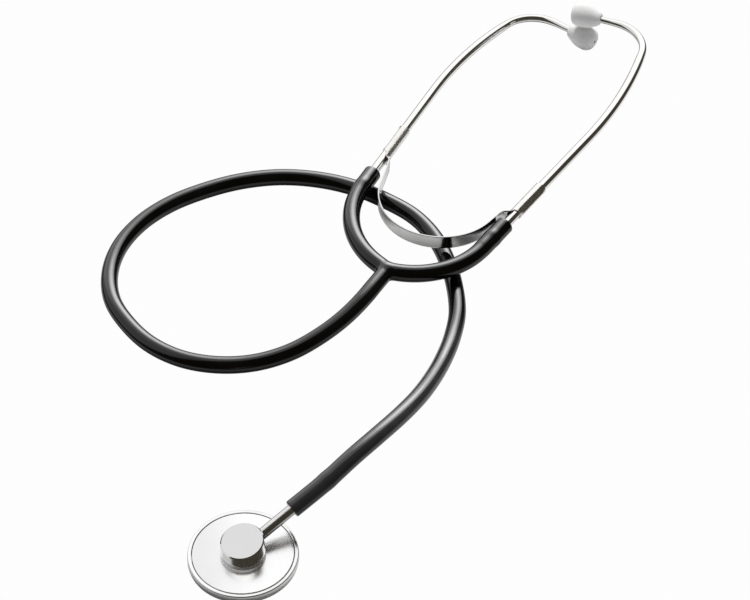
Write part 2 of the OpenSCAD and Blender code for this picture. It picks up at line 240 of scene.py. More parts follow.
# Each arm leaves the fork at its rise with a straight lead. The spring's sleeve starts sleeveUp beyond the
# arm's end, and sleeveCut is half the slant of its lower end.
sideSizes = {
    "left": {"hand": -1, "rise": 16.0, "lead": 6.8, "tipHeight": 6.5, "sleeveUp": 14.3, "sleeveCut": 3.1},
    "right": {"hand": 1, "rise": 17.0, "lead": 3.6, "tipHeight": 20.6, "sleeveUp": 8.2, "sleeveCut": 0.4},
}
tubeSizes = {
    "straight": 72.0,
    "bow": (210.0, 18.0),    # radius and degrees
    "step": 3.0,             # straight, from the bow to the crook
    "crook": (19.5, 85.0),
    "end": 9.0,              # straight, up to the ear tip
    "flare": 10.0,           # from the tube's end to the tip's widest place
    "grip": 11.5,            # inside the yoke's arm
    "intoTip": 8.5,
    "radius": 2.42,
    "bendRadius": 2.07,
    "thinning": (-6.0, 8.0),         # to bendRadius, from the crook's start
    "endRadius": 1.75,
    "endThinning": (-3.0, 4.0),      # to endRadius, from the crook's end
}


# Points of a flat line of straight runs (length, 0) and bends (radius, degrees), from +Y round towards -X
def bentLine(pieces, step, turned=0.0):
    x, y = 0.0, 0.0
    heading = math.radians(turned)
    points = [(x, y)]
    for size, turn in pieces:
        total = size * math.radians(turn) if turn else size
        count = max(1, int(math.ceil(total / step)))
        swing = math.radians(turn) / count
        for _ in range(count):
            if turn:
                x += size * (math.cos(heading + swing) - math.cos(heading))
                y += size * (math.sin(heading + swing) - math.sin(heading))
                heading += swing
            else:
                x -= total / count * math.sin(heading)
                y += total / count * math.cos(heading)
            points.append((x, y))
    return np.array(points)


def turnMatrix(axis, degrees):
    a = math.radians(degrees)
    c, s = math.cos(a), math.sin(a)
    if axis == "x":
        return np.array([[1, 0, 0], [0, c, -s], [0, s, c]])
    return np.array([[c, -s, 0], [s, c, 0], [0, 0, 1]])


# One half of the headset: its arm's bend, its pitch, and where its pieces lie
class Half:
    def __init__(self, name, sizes):
        self.name = name
        self.hand = sizes["hand"]
        lean, rise = math.radians(headset["lean"]), math.radians(sizes["rise"])
        lead = sizes["lead"]
        shift = headset["fork"][0] - headset["middle"]
        # The bend's radius and the straight run after it follow from where the arm has to end
        across = [math.cos(lean) - math.sin(rise), math.sin(lean)]
        upward = [math.cos(rise) - math.sin(lean), math.cos(lean)]
        wide = headset["halfGap"] - self.hand * shift - lead * math.cos(rise)
        high = headset["armReach"] - lead * math.sin(rise)
        self.armBend, self.run = np.linalg.solve([across, upward], [wide, high])
        self.rise = sizes["rise"]
        self.lead = lead
        self.sleeveUp = sizes["sleeveUp"]
        self.sleeveCut = sizes["sleeveCut"]
        tube = bentLine(self.tubePieces() + [(tubeSizes["flare"], 0)], 2.0)
        reach = self.run + tube[-1][1]
        drop = sizes["tipHeight"] - headset["layHeight"]
        pitch = math.degrees(math.asin(drop / reach))
        self.matrix = turnMatrix("z", -self.hand * headset["lean"]) @ turnMatrix("x", pitch)
        endX = headset["middle"] + self.hand * headset["halfGap"]
        endY = headset["fork"][1] + headset["armReach"]
        back = self.run * np.array([self.hand * math.sin(lean), math.cos(lean), 0])
        self.elbow = np.array([endX, endY, headset["layHeight"]]) - back

    def tubePieces(self):
        sizes = tubeSizes
        return [(sizes["straight"], 0), sizes["bow"], (sizes["step"], 0), sizes["crook"], (sizes["end"], 0)]

    # Points given in the half's own frame, with Y along the tube from the arm's end
    def place(self, points):
        points = np.atleast_2d(np.array(points, float)).copy()
        points[:, 0] *= self.hand
        points[:, 1] += self.run
        return self.elbow + points @ self.matrix.T

    def armPath(self, step=0.7):
        turn = 90 - self.rise - headset["lean"]
        flat = bentLine([(self.lead, 0), (self.armBend, turn)], step, turned=self.rise - 90)
        flat[:, 0] *= self.hand
        arm = np.c_[flat + headset["fork"], np.full(len(flat), headset["layHeight"])]
        straight = self.place([[0, y, 0] for y in np.arange(-self.run + step, 0.01, step)])
        return Path(np.r_[arm, straight], side=up)

    def tubePath(self, step=0.8):
        flat = bentLine(self.tubePieces(), step)
        low = np.arange(-tubeSizes["grip"], -0.01, step)
        flat = np.r_[np.c_[np.zeros(len(low)), low], flat]
        return Path(self.place(np.c_[flat, np.zeros(len(flat))]), side=up)


halves = [Half(name, sizes) for name, sizes in sideSizes.items()]


# Shader maths on wrapped sockets
class Value:
    def __init__(self, shader, socket):
        self.shader, self.socket = shader, socket

    def maths(self, operation, *others):
        sockets = [self.socket] + [getattr(o, "socket", o) for o in others]
        return self.shader.node("ShaderNodeMath", {"operation": operation}, dict(enumerate(sockets)))

    def __add__(self, other):
        return self.maths("ADD", other)

    def __mul__(self, other):
        return self.maths("MULTIPLY", other)

    def __rsub__(self, other):
        return self * -1 + other

    __radd__ = __add__
    __rmul__ = __mul__

    def between(self, low, high):
        return self.shader.node(
            "ShaderNodeMapRange", {"interpolation_type": "SMOOTHSTEP"},
            {"Value": self, "From Min": low, "From Max": high}, "Result")


class Shader:
    def __init__(self, owner):
        owner.use_nodes = True
        self.tree = owner.node_tree
        self.tree.nodes.clear()

    # One node: its type, its settings, and the values or links of its sockets
    def node(self, kind, settings=None, sockets=None, output=0):
        made = self.tree.nodes.new(kind)
        for key, value in (settings or {}).items():
            setattr(made, key, value)
        for key, value in (sockets or {}).items():
            value = getattr(value, "socket", value)
            if isinstance(value, bpy.types.NodeSocket):
                self.tree.links.new(value, made.inputs[key])
            else:
                made.inputs[key].default_value = value
        return Value(self, made.outputs[output]) if len(made.outputs) else made

    def noise(self, where, scale, detail):
        return self.node("ShaderNodeTexNoise", {}, {
            "Vector": where, "Scale": scale, "Detail": detail, "Roughness": 0.55})

    def objectPlace(self):
        return self.node("ShaderNodeTexCoord", {}, {}, "Object")

    def part(self, vector, axis):
        return self.node("ShaderNodeSeparateXYZ", {}, {0: vector}, axis)

    def dot(self, vector, way):
        return self.node("ShaderNodeVectorMath", {"operation": "DOT_PRODUCT"}, {0: vector, 1: way}, "Value")

    # The mix node's colour sockets are its inputs 6 and 7 and its output 2
    def mixColour(self, factor, a, b):
        return self.node("ShaderNodeMix", {"data_type": "RGBA"}, {0: factor, 6: a, 7: b}, 2)

    def bump(self, height, strength, distance):
        return self.node("ShaderNodeBump", {}, {
            "Height": height, "Strength": strength, "Distance": distance}, "Normal")

    # 1 for rays of one kind, such as Camera or Glossy
    def ray(self, kind):
        return self.node("ShaderNodeLightPath", {}, {}, "Is " + kind + " Ray")

    def surface(self, sockets):
        made = self.node("ShaderNodeBsdfPrincipled", {}, sockets)
        self.node("ShaderNodeOutputMaterial", {}, {"Surface": made})


def newMaterial(name):
    material = bpy.data.materials.new(name)
    return material, Shader(material)


# One number alone gives a grey
def colour(r, g=None, b=None):
    return (r, r if g is None else g, r if b is None else b, 1.0)


# Black tubing: glossy flexible plastic with a faint ripple and dusty patches, greyer along the stretch that
# rises to the stem
tubingLook = {
    "base": colour(0.0005, 0.0005, 0.0006),
    "dusty": colour(0.002, 0.002, 0.0022),
    "greyStretch": colour(0.026, 0.026, 0.026),
    "greyStretchAcross": (-30, -10),     # it fades in along X here
    "greyStretchAlong": (150, 175),      # and out along Y here
    "roughness": (0.11, 0.16),
    "patchScale": 45.0,
    "rippleScale": 260.0,
    "ripple": 0.04,
}


def tubingMaterial(look):
    material, shader = newMaterial("black_tubing")
    where = shader.objectPlace()
    patches = shader.noise(where, look["patchScale"], 4.0).between(0.42, 0.66)
    low, high = look["roughness"]
    ripple = shader.noise(where, look["rippleScale"], 2.0)
    rightward = shader.part(where, "X").between(*(far * mm for far in look["greyStretchAcross"]))
    upward = shader.part(where, "Y").between(*(far * mm for far in look["greyStretchAlong"]))
    greyStretch = rightward * (1 - upward)
    black = shader.mixColour(patches, look["base"], look["dusty"])
    shader.surface({
        "Base Color": shader.mixColour(greyStretch * (patches * 0.3 + 0.7), black, look["greyStretch"]),
        "Roughness": patches * (high - low) + low,
        "IOR": 1.5,
        "Normal": shader.bump(ripple, look["ripple"], 0.0004),
    })
    return material


# Plated metals: a mirror with its own tint, a paler or duller haze in clouds, and faint wipe marks
platedLooks = {
    "tube_chrome": {
        "tint": colour(0.93, 0.925, 0.91), "haze": colour(0.88, 0.875, 0.86), "roughness": 0.05,
        "marks": 0.02, "grain": (300, 300, 300),
    },
    "ring_metal": {
        "tint": colour(0.9, 0.9, 0.9), "haze": colour(0.84, 0.84, 0.83), "roughness": 0.14,
        "marks": 0.02, "grain": (300, 300, 300),
    },
    "stem_metal": {
        "tint": colour(0.78, 0.775, 0.77), "haze": colour(0.7, 0.69, 0.68), "roughness": 0.14,
        "marks": 0.02, "grain": (300, 300, 300),
    },
    "spring_steel": {
        "tint": colour(0.84, 0.84, 0.835), "haze": colour(0.74, 0.735, 0.72), "roughness": 0.08,
        "marks": 0.1, "grain": (60, 60, 1500),
    },
    "sleeve_steel": {
        "tint": colour(0.93, 0.92, 0.9), "haze": colour(0.86, 0.84, 0.8), "roughness": 0.24,
        "marks": 0.7, "grain": (1100, 1100, 1100),
    },
}


def platedMaterial(name):
    look = platedLooks[name]
    material, shader = newMaterial(name)
    where = shader.objectPlace()
    clouds = shader.noise(where, 60.0, 4.0).between(0.4, 0.7)
    grain = shader.node("ShaderNodeMapping", {}, {"Vector": where, "Scale": look["grain"]})
    wipes = shader.noise(grain, 1.0, 4.0)
    shader.surface({
        "Base Color": shader.mixColour(clouds, look["tint"], look["haze"]),
        "Metallic": 1.0,
        "Roughness": clouds * (look["roughness"] * 0.4) + look["roughness"],
        "Normal": shader.bump(wipes, look["marks"], 0.0002),
    })
    return material


# Chest piece metals: the hub is bright on its side, satin on its top and rough on its foot, and the plate is
# darker to one side
chestLook = {
    "hubSide": colour(0.86, 0.855, 0.85),
    "hubTop": colour(0.66, 0.66, 0.665),
    "hubRoughness": (0.05, 0.2),     # of its side and its top
    "footTop": 6.85,                 # height of the foot's top edge above the table
    "footRoughness": 0.5,
    "plateDarker": colour(0.78, 0.78, 0.785),
    "plateBright": colour(0.93, 0.93, 0.935),
    "plateWay": (0.8, 0.6, 0),       # from its darker side to its brighter one
    "plateRoughness": 0.2,
}


def hubMaterial(look):
    material, shader = newMaterial("hub_metal")
    normal = shader.node("ShaderNodeTexCoord", {}, {}, "Normal")
    top = shader.part(normal, "Z").between(0.9, 0.97)
    where = shader.objectPlace()
    clouds = shader.noise(where, 90.0, 4.0).between(0.4, 0.7)
    footTop = look["footTop"] * mm
    foot = 1 - shader.part(where, "Z").between(footTop - 0.05 * mm, footTop + 0.05 * mm)
    low, high = look["hubRoughness"]
    shader.surface({
        "Base Color": shader.mixColour(top, look["hubSide"], look["hubTop"]),
        "Metallic": 1.0,
        "Roughness": top * (high - low) + low + clouds * 0.02 + foot * look["footRoughness"],
    })
    return material


def plateMaterial(look):
    material, shader = newMaterial("plate_metal")
    where = shader.objectPlace()
    across = shader.dot(where, look["plateWay"])
    clouds = shader.noise(where, 70.0, 4.0)
    bright = (across + clouds * 0.012).between(-0.014, 0.012)
    shader.surface({
        "Base Color": shader.mixColour(bright, look["plateDarker"], look["plateBright"]),
        "Metallic": 1.0,
        "Roughness": clouds * 0.05 + look["plateRoughness"],
    })
    return material


# Ear tips: soft off-white plastic that lets a little light through
tipLook = {
    "base": colour(0.72, 0.72, 0.715),
    "worn": colour(0.67, 0.67, 0.66),
    "wornScale": 130.0,
    "poreScale": 1800.0,
    "roughness": 0.5,
    "softness": 0.35,        # share of the light that goes in and comes out again
}


def tipMaterial(look):
    material, shader = newMaterial("ear_tip_plastic")
    where = shader.objectPlace()
    clouds = shader.noise(where, look["wornScale"], 3.0).between(0.35, 0.7)
    pores = shader.noise(where, look["poreScale"], 2.0)
    shader.surface({
        "Base Color": shader.mixColour(clouds, look["base"], look["worn"]),
        "Roughness": clouds * 0.1 + look["roughness"],
        "Subsurface Weight": look["softness"],
        "Subsurface Radius": (0.003, 0.003, 0.0028),
        "Subsurface Scale": 0.6,
        "Normal": shader.bump(pores, 0.05, 0.0001),
    })
    return material


# Diaphragm: pale glass-fibre sheet with a fine weave under its gloss
filmLook = {
    "resin": colour(0.78, 0.78, 0.72),
    "fibre": colour(0.88, 0.88, 0.84),
    "weaveScale": 900.0,
    "roughness": 0.3,
    "coat": 0.5,
}


def filmMaterial(look):
    material, shader = newMaterial("diaphragm_film")
    where = shader.objectPlace()
    bands = {"Vector": where, "Scale": look["weaveScale"]}
    warp = shader.node("ShaderNodeTexWave", {"bands_direction": "X"}, bands)
    weft = shader.node("ShaderNodeTexWave", {"bands_direction": "Y"}, bands)
    weave = warp * weft
    shader.surface({
        "Base Color": shader.mixColour(weave, look["resin"], look["fibre"]),
        "Roughness": look["roughness"],
        "Coat Weight": look["coat"],
        "Normal": shader.bump(weave, 0.1, 0.0001),
    })
    return material


tubing = tubingMaterial(tubingLook)
chrome = platedMaterial("tube_chrome")
plateMetal = plateMaterial(chestLook)
ringMetal = platedMaterial("ring_metal")
hubMetal = hubMaterial(chestLook)
stemMetal = platedMaterial("stem_metal")
springSteel = platedMaterial("spring_steel")
sleeveSteel = platedMaterial("sleeve_steel")
tipPlastic = tipMaterial(tipLook)
film = filmMaterial(filmLook)
print("materials made")


def dress(piece, material):
    piece.data.materials.clear()
    piece.data.materials.append(material)


# Hose: one length of tubing from the yoke's leg to the stem, whose barb swells it near its end
hoseSizes = {
    "radius": 4.1,
    "bore": 2.55,
    "barb": 20.0,            # from the hose's end to the stem's barb inside it
    "swell": 0.18,           # how far the barb lifts the skin
    "swellLength": 2.2,
    "endRound": 0.7,
    "step": 1.5,             # between the rings of its mesh
}
# Its middle line, from the yoke's leg
hoseRoute = [
    (-30.2, 158.8, 13.35), (-30.5, 149, 12.8), (-32.7, 137, 10.7), (-37.5, 123, 8.2),
    (-45, 108.5, 6.1), (-56, 96, 4.6), (-70, 86.5, 4.1), (-86, 81, 4.1), (-104, 81, 4.1),
    (-121, 86.5, 4.1), (-136, 95.5, 4.1), (-147, 109, 4.1), (-153.5, 126, 4.1),
    (-154.5, 144, 4.1), (-150, 163, 4.1), (-141, 180, 4.1), (-129, 195.5, 4.1),
    (-114, 208, 4.1), (-96, 216.5, 4.1), (-78, 220.5, 4.1), (-60, 220.5, 4.1),
    (-43, 218, 4.1), (-27, 210.5, 4.1), (-13.5, 199.5, 4.1), (-2, 186.5, 4.1),
    (8, 171.5, 4.1), (14, 156, 4.7), (18.5, 140, 7.5), (22, 124, 11.7), (24.5, 106.5, 16.7),
    (25, 90, 20.8), (23.5, 72.5, 23.3), (20.5, 56, 23.2),
]
stemSizes = {
    "turn": 68.0,            # degrees from +X towards +Y
    "rise": 17.0,
    "startHeight": 6.7,      # where its middle line meets the head's axis
    "inner": 5.0,
    "reach": 26.0,           # level distance from the head's axis to the hose's end
    "radius": 2.5,
    "barbLength": 4.0,
    "barbPeak": 2.5,         # from the stem's end
    "barbRise": 0.05,
    "barbTaper": 0.4,
}


def stemPoint(far):
    turn, rise = math.radians(stemSizes["turn"]), math.radians(stemSizes["rise"])
    flat = far * math.cos(rise)
    height = stemSizes["startHeight"] + far * math.sin(rise)
    return np.array([flat * math.cos(turn), flat * math.sin(turn), height])


stemWay = unit(stemPoint(1) - stemPoint(0))
hoseEndFar = stemSizes["reach"] / math.cos(math.radians(stemSizes["rise"]))


def makeHose():
    ends = [stemPoint(hoseEndFar + hoseSizes["barb"]), stemPoint(hoseEndFar)]
    path = Path(smoothLine(hoseRoute + ends, (0, -1, 0), -stemWay, hoseSizes["step"]))
    radius, bore, rounding = hoseSizes["radius"], hoseSizes["bore"], hoseSizes["endRound"]
    total = path.length

    def skin(far):
        fromBarb = (total - far - hoseSizes["barb"]) / hoseSizes["swellLength"]
        return radius + hoseSizes["swell"] * swell(fromBarb)

    profile = along(0, total - rounding, hoseSizes["step"], skin) + roundedEnd(total, radius, rounding, 6)
    profile += [(total, bore + 0.15), (total - 0.15, bore), (total - 4, bore)]
    hose = sweep("hose_tube", path, profile, 40)
    dress(hose, tubing)
    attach(hose, "frame")
    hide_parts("hose")
    tuple(path.points[0] * mm)
    [tuple(p * mm) for p in path.points]
    print("hose made, length", round(total, 1), "mm")


makeHose()


# Yoke: the fork where the leg meets the saddle, then an arm on each side that bends round to its ear tube
yokeSizes = {
    "cuffRadius": 4.35,
    "bulgeRadius": 4.55,
    "bulgeFromEnd": 10.8,
    "bulgeLength": 2.0,
    "cuffWidening": (-2.0, 3.0),     # from where the arm's bend ends
    "bendsUntil": 2.0,               # past there
    "fillet": 1.6,
    "voxel": 0.4,
    "forkReach": 12.0,       # along each arm from the fork's middle
    "tubeRadius": 2.45,
    "endRound": 0.6,
    "socketSeen": 6.0,       # depth of the tube's socket in this mesh
}


# Each point's distance to a line, and the line's nearest spot
def nearest(points, line):
    best = np.full(len(points), 1e9)
    foot = np.zeros_like(points)
    for start, end in zip(line[:-1], line[1:]):
        span = end - start
        t = np.clip((points - start) @ span / (span @ span), 0, 1)
        spot = start + t[:, None] * span
        gap = np.linalg.norm(points - spot, axis=1)
        closer = gap < best
        best[closer] = gap[closer]
        foot[closer] = spot[closer]
    return best, foot


# The fork's middle lines: from arm to arm over the saddle, and down the leg
def forkLines():
    fork = np.array([*headset["fork"], headset["layHeight"]])
    saddleRadius = headset["saddleRadius"]
    ways = []
    for half in halves:
        rise = math.radians(half.rise)
        ways.append(np.array([half.hand * math.cos(rise), math.sin(rise), 0]))
    turn = math.radians(sum(half.rise for half in halves))
    centreWay = unit(ways[0] + ways[1])
    sideWay = np.cross(centreWay, up)
    centre = fork + centreWay * saddleRadius / math.cos(turn / 2)
    saddle = []
    for a in turn * (np.linspace(0, 1, 13) - 0.5):
        saddle.append(centre - saddleRadius * (math.cos(a) * centreWay - math.sin(a) * sideWay))
    arms = []
    for half in halves:
        arm = half.armPath(0.5).points
        clear = np.linalg.norm(arm - fork, axis=1) > saddleRadius * math.tan(turn / 2) + 0.2
        arms.append(arm[clear][:60])
    leg = np.array([fork - [0, 0.6, 0], fork - [0, headset["legLength"] + 4, 0]])
    return np.r_[arms[0][::-1], saddle, arms[1]], leg


# Each point's height over two round tubes that meet in a fillet, and the way straight out of them
def forkSurface(points, arms, leg):
    blend = yokeSizes["fillet"]
    gaps, pulls = [], []
    for line, radius in ((arms, headset["armRadius"]), (leg, headset["legRadius"])):
        gap, foot = nearest(points, line)
        gaps.append(gap - radius)
        pulls.append((points - foot) / gap[:, None])
    mix = np.clip(0.5 + 0.5 * (gaps[1] - gaps[0]) / blend, 0, 1)
    height = gaps[1] + (gaps[0] - gaps[1]) * mix - blend * mix * (1 - mix)
    way = pulls[1] + (pulls[0] - pulls[1]) * mix[:, None]
    return height, way / np.linalg.norm(way, axis=1)[:, None]


def applyModifiers(piece):
    bpy.context.view_layer.update()
    done = piece.evaluated_get(bpy.context.evaluated_depsgraph_get())
    mesh = bpy.data.meshes.new_from_object(done)
    piece.modifiers.clear()
    piece.data = mesh


# Cuts off what lies past a plane, and leaves the cut open
def cutAway(piece, point, way):
    work = bmesh.new()
    work.from_mesh(piece.data)
    bmesh.ops.bisect_plane(work, geom=work.verts[:] + work.edges[:] + work.faces[:], dist=1e-7,
                           plane_co=Vector(point) * mm, plane_no=Vector(way), clear_outer=True)
    work.to_mesh(piece.data)
    work.free()


def vertexPlaces(piece):
    return np.array([v.co for v in piece.data.vertices]) / mm


# The rough tubes are joined by a remesh, and its vertices then settle on the filleted surface
def makeFork():
    arms, leg = forkLines()
    armPath = Path(arms, side=up)
    legPath = Path(np.linspace(leg[0], leg[1], 30), side=up)
    rough = [
        sweep("rough_arms", armPath, along(0, armPath.length, 1.0, headset["armRadius"]), 32),
        sweep("rough_leg", legPath, along(0, legPath.length, 1.0, headset["legRadius"]), 32),
    ]
    points, faces = [], []
    for piece in rough:
        faces += [tuple(v + len(points) for v in p.vertices) for p in piece.data.polygons]
        points += [tuple(v.co / mm) for v in piece.data.vertices]
        bpy.data.objects.remove(piece)
    fork = makeMesh("yoke_fork", points, faces)
    remesh = fork.modifiers.new("remesh", "REMESH")
    remesh.mode = "VOXEL"
    remesh.voxel_size = yokeSizes["voxel"] * mm
    applyModifiers(fork)
    places = vertexPlaces(fork)
    for _ in range(6):
        height, way = forkSurface(places, arms, leg)
        places -= way * height[:, None]
    fork.data.vertices.foreach_set("co", (places * mm).astype(np.float32).ravel())
    for half in halves:
        point, way, _, _ = half.armPath().at(yokeSizes["forkReach"])
        cutAway(fork, point, way)
    x, y = headset["fork"]
    cutAway(fork, (x, y - headset["legLength"], 0), (0, -1, 0))
    fork.data.polygons.foreach_set("use_smooth", [True] * len(fork.data.polygons))
    _, way = forkSurface(vertexPlaces(fork), arms, leg)
    fork.data.normals_split_custom_set_from_vertices([tuple(n) for n in way])
    dress(fork, tubing)
    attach(fork, "frame")
    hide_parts("yoke")


def makeArm(half):
    sizes = yokeSizes
    path = half.armPath()
    end = path.length
    bendEnd = end - half.run
    armRadius, cuffRadius = headset["armRadius"], sizes["cuffRadius"]
    low, high = sizes["cuffWidening"]

    def skin(far):
        radius = armRadius + ease(far, bendEnd + low, bendEnd + high) * (cuffRadius - armRadius)
        fromBulge = (end - far - sizes["bulgeFromEnd"]) / sizes["bulgeLength"]
        return radius + (sizes["bulgeRadius"] - cuffRadius) * swell(fromBulge)

    profile = along(sizes["forkReach"], end - sizes["endRound"], 0.8, skin)
    profile += roundedEnd(end, cuffRadius, sizes["endRound"], 5)
    profile += [(end, sizes["tubeRadius"] + 0.2), (end - 0.2, sizes["tubeRadius"]),
                (end - sizes["socketSeen"], sizes["tubeRadius"])]
    arm = sweep("yoke_arm_" + half.name, path, profile, 56)
    dress(arm, tubing)
    blendHalf(arm, path.at(sizes["forkReach"])[0], path.at(bendEnd + sizes["bendsUntil"])[0])


# Bakes the piece's placement into its mesh
def blendHalf(piece, start, end):
    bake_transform(piece)


makeFork()
for half in halves:
    makeArm(half)
print("yoke made")


# Ear tubes: plated tubes that thin down round the top bend
def makeEarTube(half):
    sizes = tubeSizes
    path = half.tubePath()
    bow = math.radians(sizes["bow"][1]) * sizes["bow"][0]
    crook = math.radians(sizes["crook"][1]) * sizes["crook"][0]
    crookStart = sizes["grip"] + sizes["straight"] + bow
    crookEnd = crookStart + sizes["step"] + crook
    thinning = [crookStart + far for far in sizes["thinning"]]
    endThinning = [crookEnd + far for far in sizes["endThinning"]]

    def skin(far):
        first = ease(far, *thinning) * (sizes["radius"] - sizes["bendRadius"])
        last = ease(far, *endThinning) * (sizes["bendRadius"] - sizes["endRadius"])
        return sizes["radius"] - first - last

    profile = along(0, path.length + sizes["intoTip"], 0.9, skin)
    tube = sweep("ear_tube_" + half.name + "_skin", path, profile, 48)
    dress(tube, chrome)
    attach(tube, half.name + "_side")
    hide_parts("ear_tube_" + half.name)


for half in halves:
    makeEarTube(half)
print("ear tubes made")


# Ear tips: turned about the tube's end
earTipSizes = {
    "neckRadius": 2.95,
    "radius": 6.45,
    "flare": 10.0,           # from its neck to its widest place
    "flarePower": 0.9,
    "length": 16.0,
    "dome": 2.6,             # 2 is an ellipse, and more is blunter
    "hole": 0.8,
}


def makeEarTip(half):
    sizes = earTipSizes
    tube = half.tubePath()
    neck, way, side, _ = tube.at(tube.length)
    length, flare, hole = sizes["length"], sizes["flare"], sizes["hole"]
    radius, neckRadius = sizes["radius"], sizes["neckRadius"]
    mouth = tubeSizes["endRadius"] + 0.02
    profile = [(1.5, mouth), (0.12, mouth), (0, mouth + 0.08)]
    profile += [(0, neckRadius - 0.3), (0.08, neckRadius - 0.12), (0.25, neckRadius)]
    for far in np.linspace(0.5, flare, 26):
        spread = math.sin(math.pi / 2 * far / flare) ** sizes["flarePower"]
        profile.append((far, neckRadius + (radius - neckRadius) * spread))
    for t in np.sin(np.linspace(0, 1, 30)[1:] * math.pi / 2):
        domeRadius = radius * max(1 - t ** sizes["dome"], 0) ** (1 / sizes["dome"])
        if domeRadius > hole + 0.25:
            profile.append((flare + (length - flare) * t, domeRadius))
    profile += [(length, hole + 0.2), (length - 0.2, hole), (length - 4, hole)]
    path = Path([neck, neck + way * length], side=side)
    tip = sweep("ear_tip_" + half.name + "_skin", path, profile, 64)
    dress(tip, tipPlastic)
    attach(tip, half.name + "_tip")
    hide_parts("ear_tip_" + half.name)


for half in halves:
    makeEarTip(half)
print("ear tips made")


# Leaf spring: a strip on edge, bent to a U, whose ends curl round the tubes under their sleeves
springSizes = {
    "height": 7.5,
    "thickness": 0.6,
    "edge": 0.12,
    "bottomFromEnd": 30.1,   # from the arms' ends back to its bottom
    "shift": 1.2,            # of its bottom, to the right of the middle
    "radius": 30.5,
    "stepRadius": 7.0,       # of the two small bends that lead each end to its tube
    "stepTurn": 31.0,
    "sleeveLength": 22.0,
    "sleeveRadius": 2.44,
    "sideGap": 0.05,
    "curlLength": 6.5,
    "liftLength": 30.0,      # over which each end lifts to its tube's height
    "step": 0.6,
}


# The strip's middle line from its bottom: a wide bend, a straight run and two small bends to the tube
def springLine(half):
    sizes = springSizes
    lean = math.radians(headset["lean"])
    stepWay = math.radians(90 - headset["lean"] - sizes["stepTurn"])
    wide, small = sizes["radius"], sizes["stepRadius"]
    side = sizes["sleeveRadius"] + sizes["sideGap"] + sizes["thickness"] / 2 + small
    tubeAway = headset["halfGap"] - half.hand * sizes["shift"]
    dx = tubeAway + half.sleeveUp * math.sin(lean) - side * math.cos(lean) + 2 * small * math.sin(stepWay)
    dy = sizes["bottomFromEnd"] + half.sleeveUp * math.cos(lean) + side * math.sin(lean)
    dy -= 2 * small * math.cos(stepWay) + wide
    apart = math.hypot(dx, dy)
    turn = math.degrees(math.atan2(dy, dx) + math.asin((wide + small) / apart))
    run = math.sqrt(apart**2 - (wide + small) ** 2)
    flat = bentLine([(wide, turn), (run, 0)], sizes["step"], turned=-90)
    away = bentLine([(small, turn - math.degrees(stepWay))], sizes["step"], turned=-90)
    c, s = math.cos(math.radians(turn)), math.sin(math.radians(turn))
    flat = np.r_[flat, flat[-1] + away[1:] @ [[c, s], [s, -c]]]
    last = bentLine([(small, sizes["stepTurn"])], sizes["step"], turned=math.degrees(stepWay) - 90)
    flat = np.r_[flat, flat[-1] + last[1:]]
    flat[:, 0] *= half.hand
    foot = headset["fork"][1] + headset["armReach"] - sizes["bottomFromEnd"]
    flat += [headset["middle"] + sizes["shift"], foot]
    return np.c_[flat, np.full(len(flat), headset["layHeight"])]


# The strip's cross-section with small rounded edges: one side and its edges, then the same turned half round
def stripOutline():
    thick, tall, edge = springSizes["thickness"] / 2, springSizes["height"] / 2, springSizes["edge"]
    side = [(thick, z) for z in np.linspace(edge - tall, tall - edge, 9)]
    for hand, angles in ((1, (0.8, 1.57)), (-1, (1.57, 0.8))):
        for a in angles:
            side.append((hand * (thick - edge * (1 - math.cos(a))), tall - edge * (1 - math.sin(a))))
    return side + [(-x, -z) for x, z in side]


def makeSpringHalf(half):
    sizes = springSizes
    line = springLine(half)
    path = Path(line, side=np.cross(line[1] - line[0], up) * half.hand)
    outline = stripOutline()
    roll = 1 / (sizes["sleeveRadius"] + sizes["thickness"] / 2)
    rise = half.place([0, half.sleeveUp, 0])[0][2] - headset["layHeight"]
    fars = np.linspace(0, path.length, int(path.length / sizes["step"]))
    points = []
    for far in fars:
        point, _, side, _ = path.at(far)
        curl = roll * ease(far, path.length - sizes["curlLength"], path.length) + 1e-4
        lift = rise * ease(far, path.length - sizes["liftLength"], path.length)
        for x, z in outline:
            a = z * curl
            out = x + (1 / curl - x) * (1 - math.cos(a))
            points.append(point + out * side + ((1 / curl - x) * math.sin(a) + lift) * up)
    sides = len(outline)
    faces = gridFaces(len(fars), sides) + [lastCap(len(fars), sides)]
    strip = makeMesh("leaf_spring_" + half.name, points, faces)
    sharpEdges(strip, 35)
    dress(strip, springSteel)
    blendHalf(strip, line[0], line[-4])     # its placement is baked into its mesh
    return strip


# Sleeve: cut on a slant at its lower end, and pressed flat along its upper outer side
sleeveLook = {
    "flatAt": 33.0,          # degrees above the outer side
    "flatDepth": 0.82,       # from the tube's middle, as a share of the sleeve's radius
    "flatFade": 2.5,         # towards both ends
}


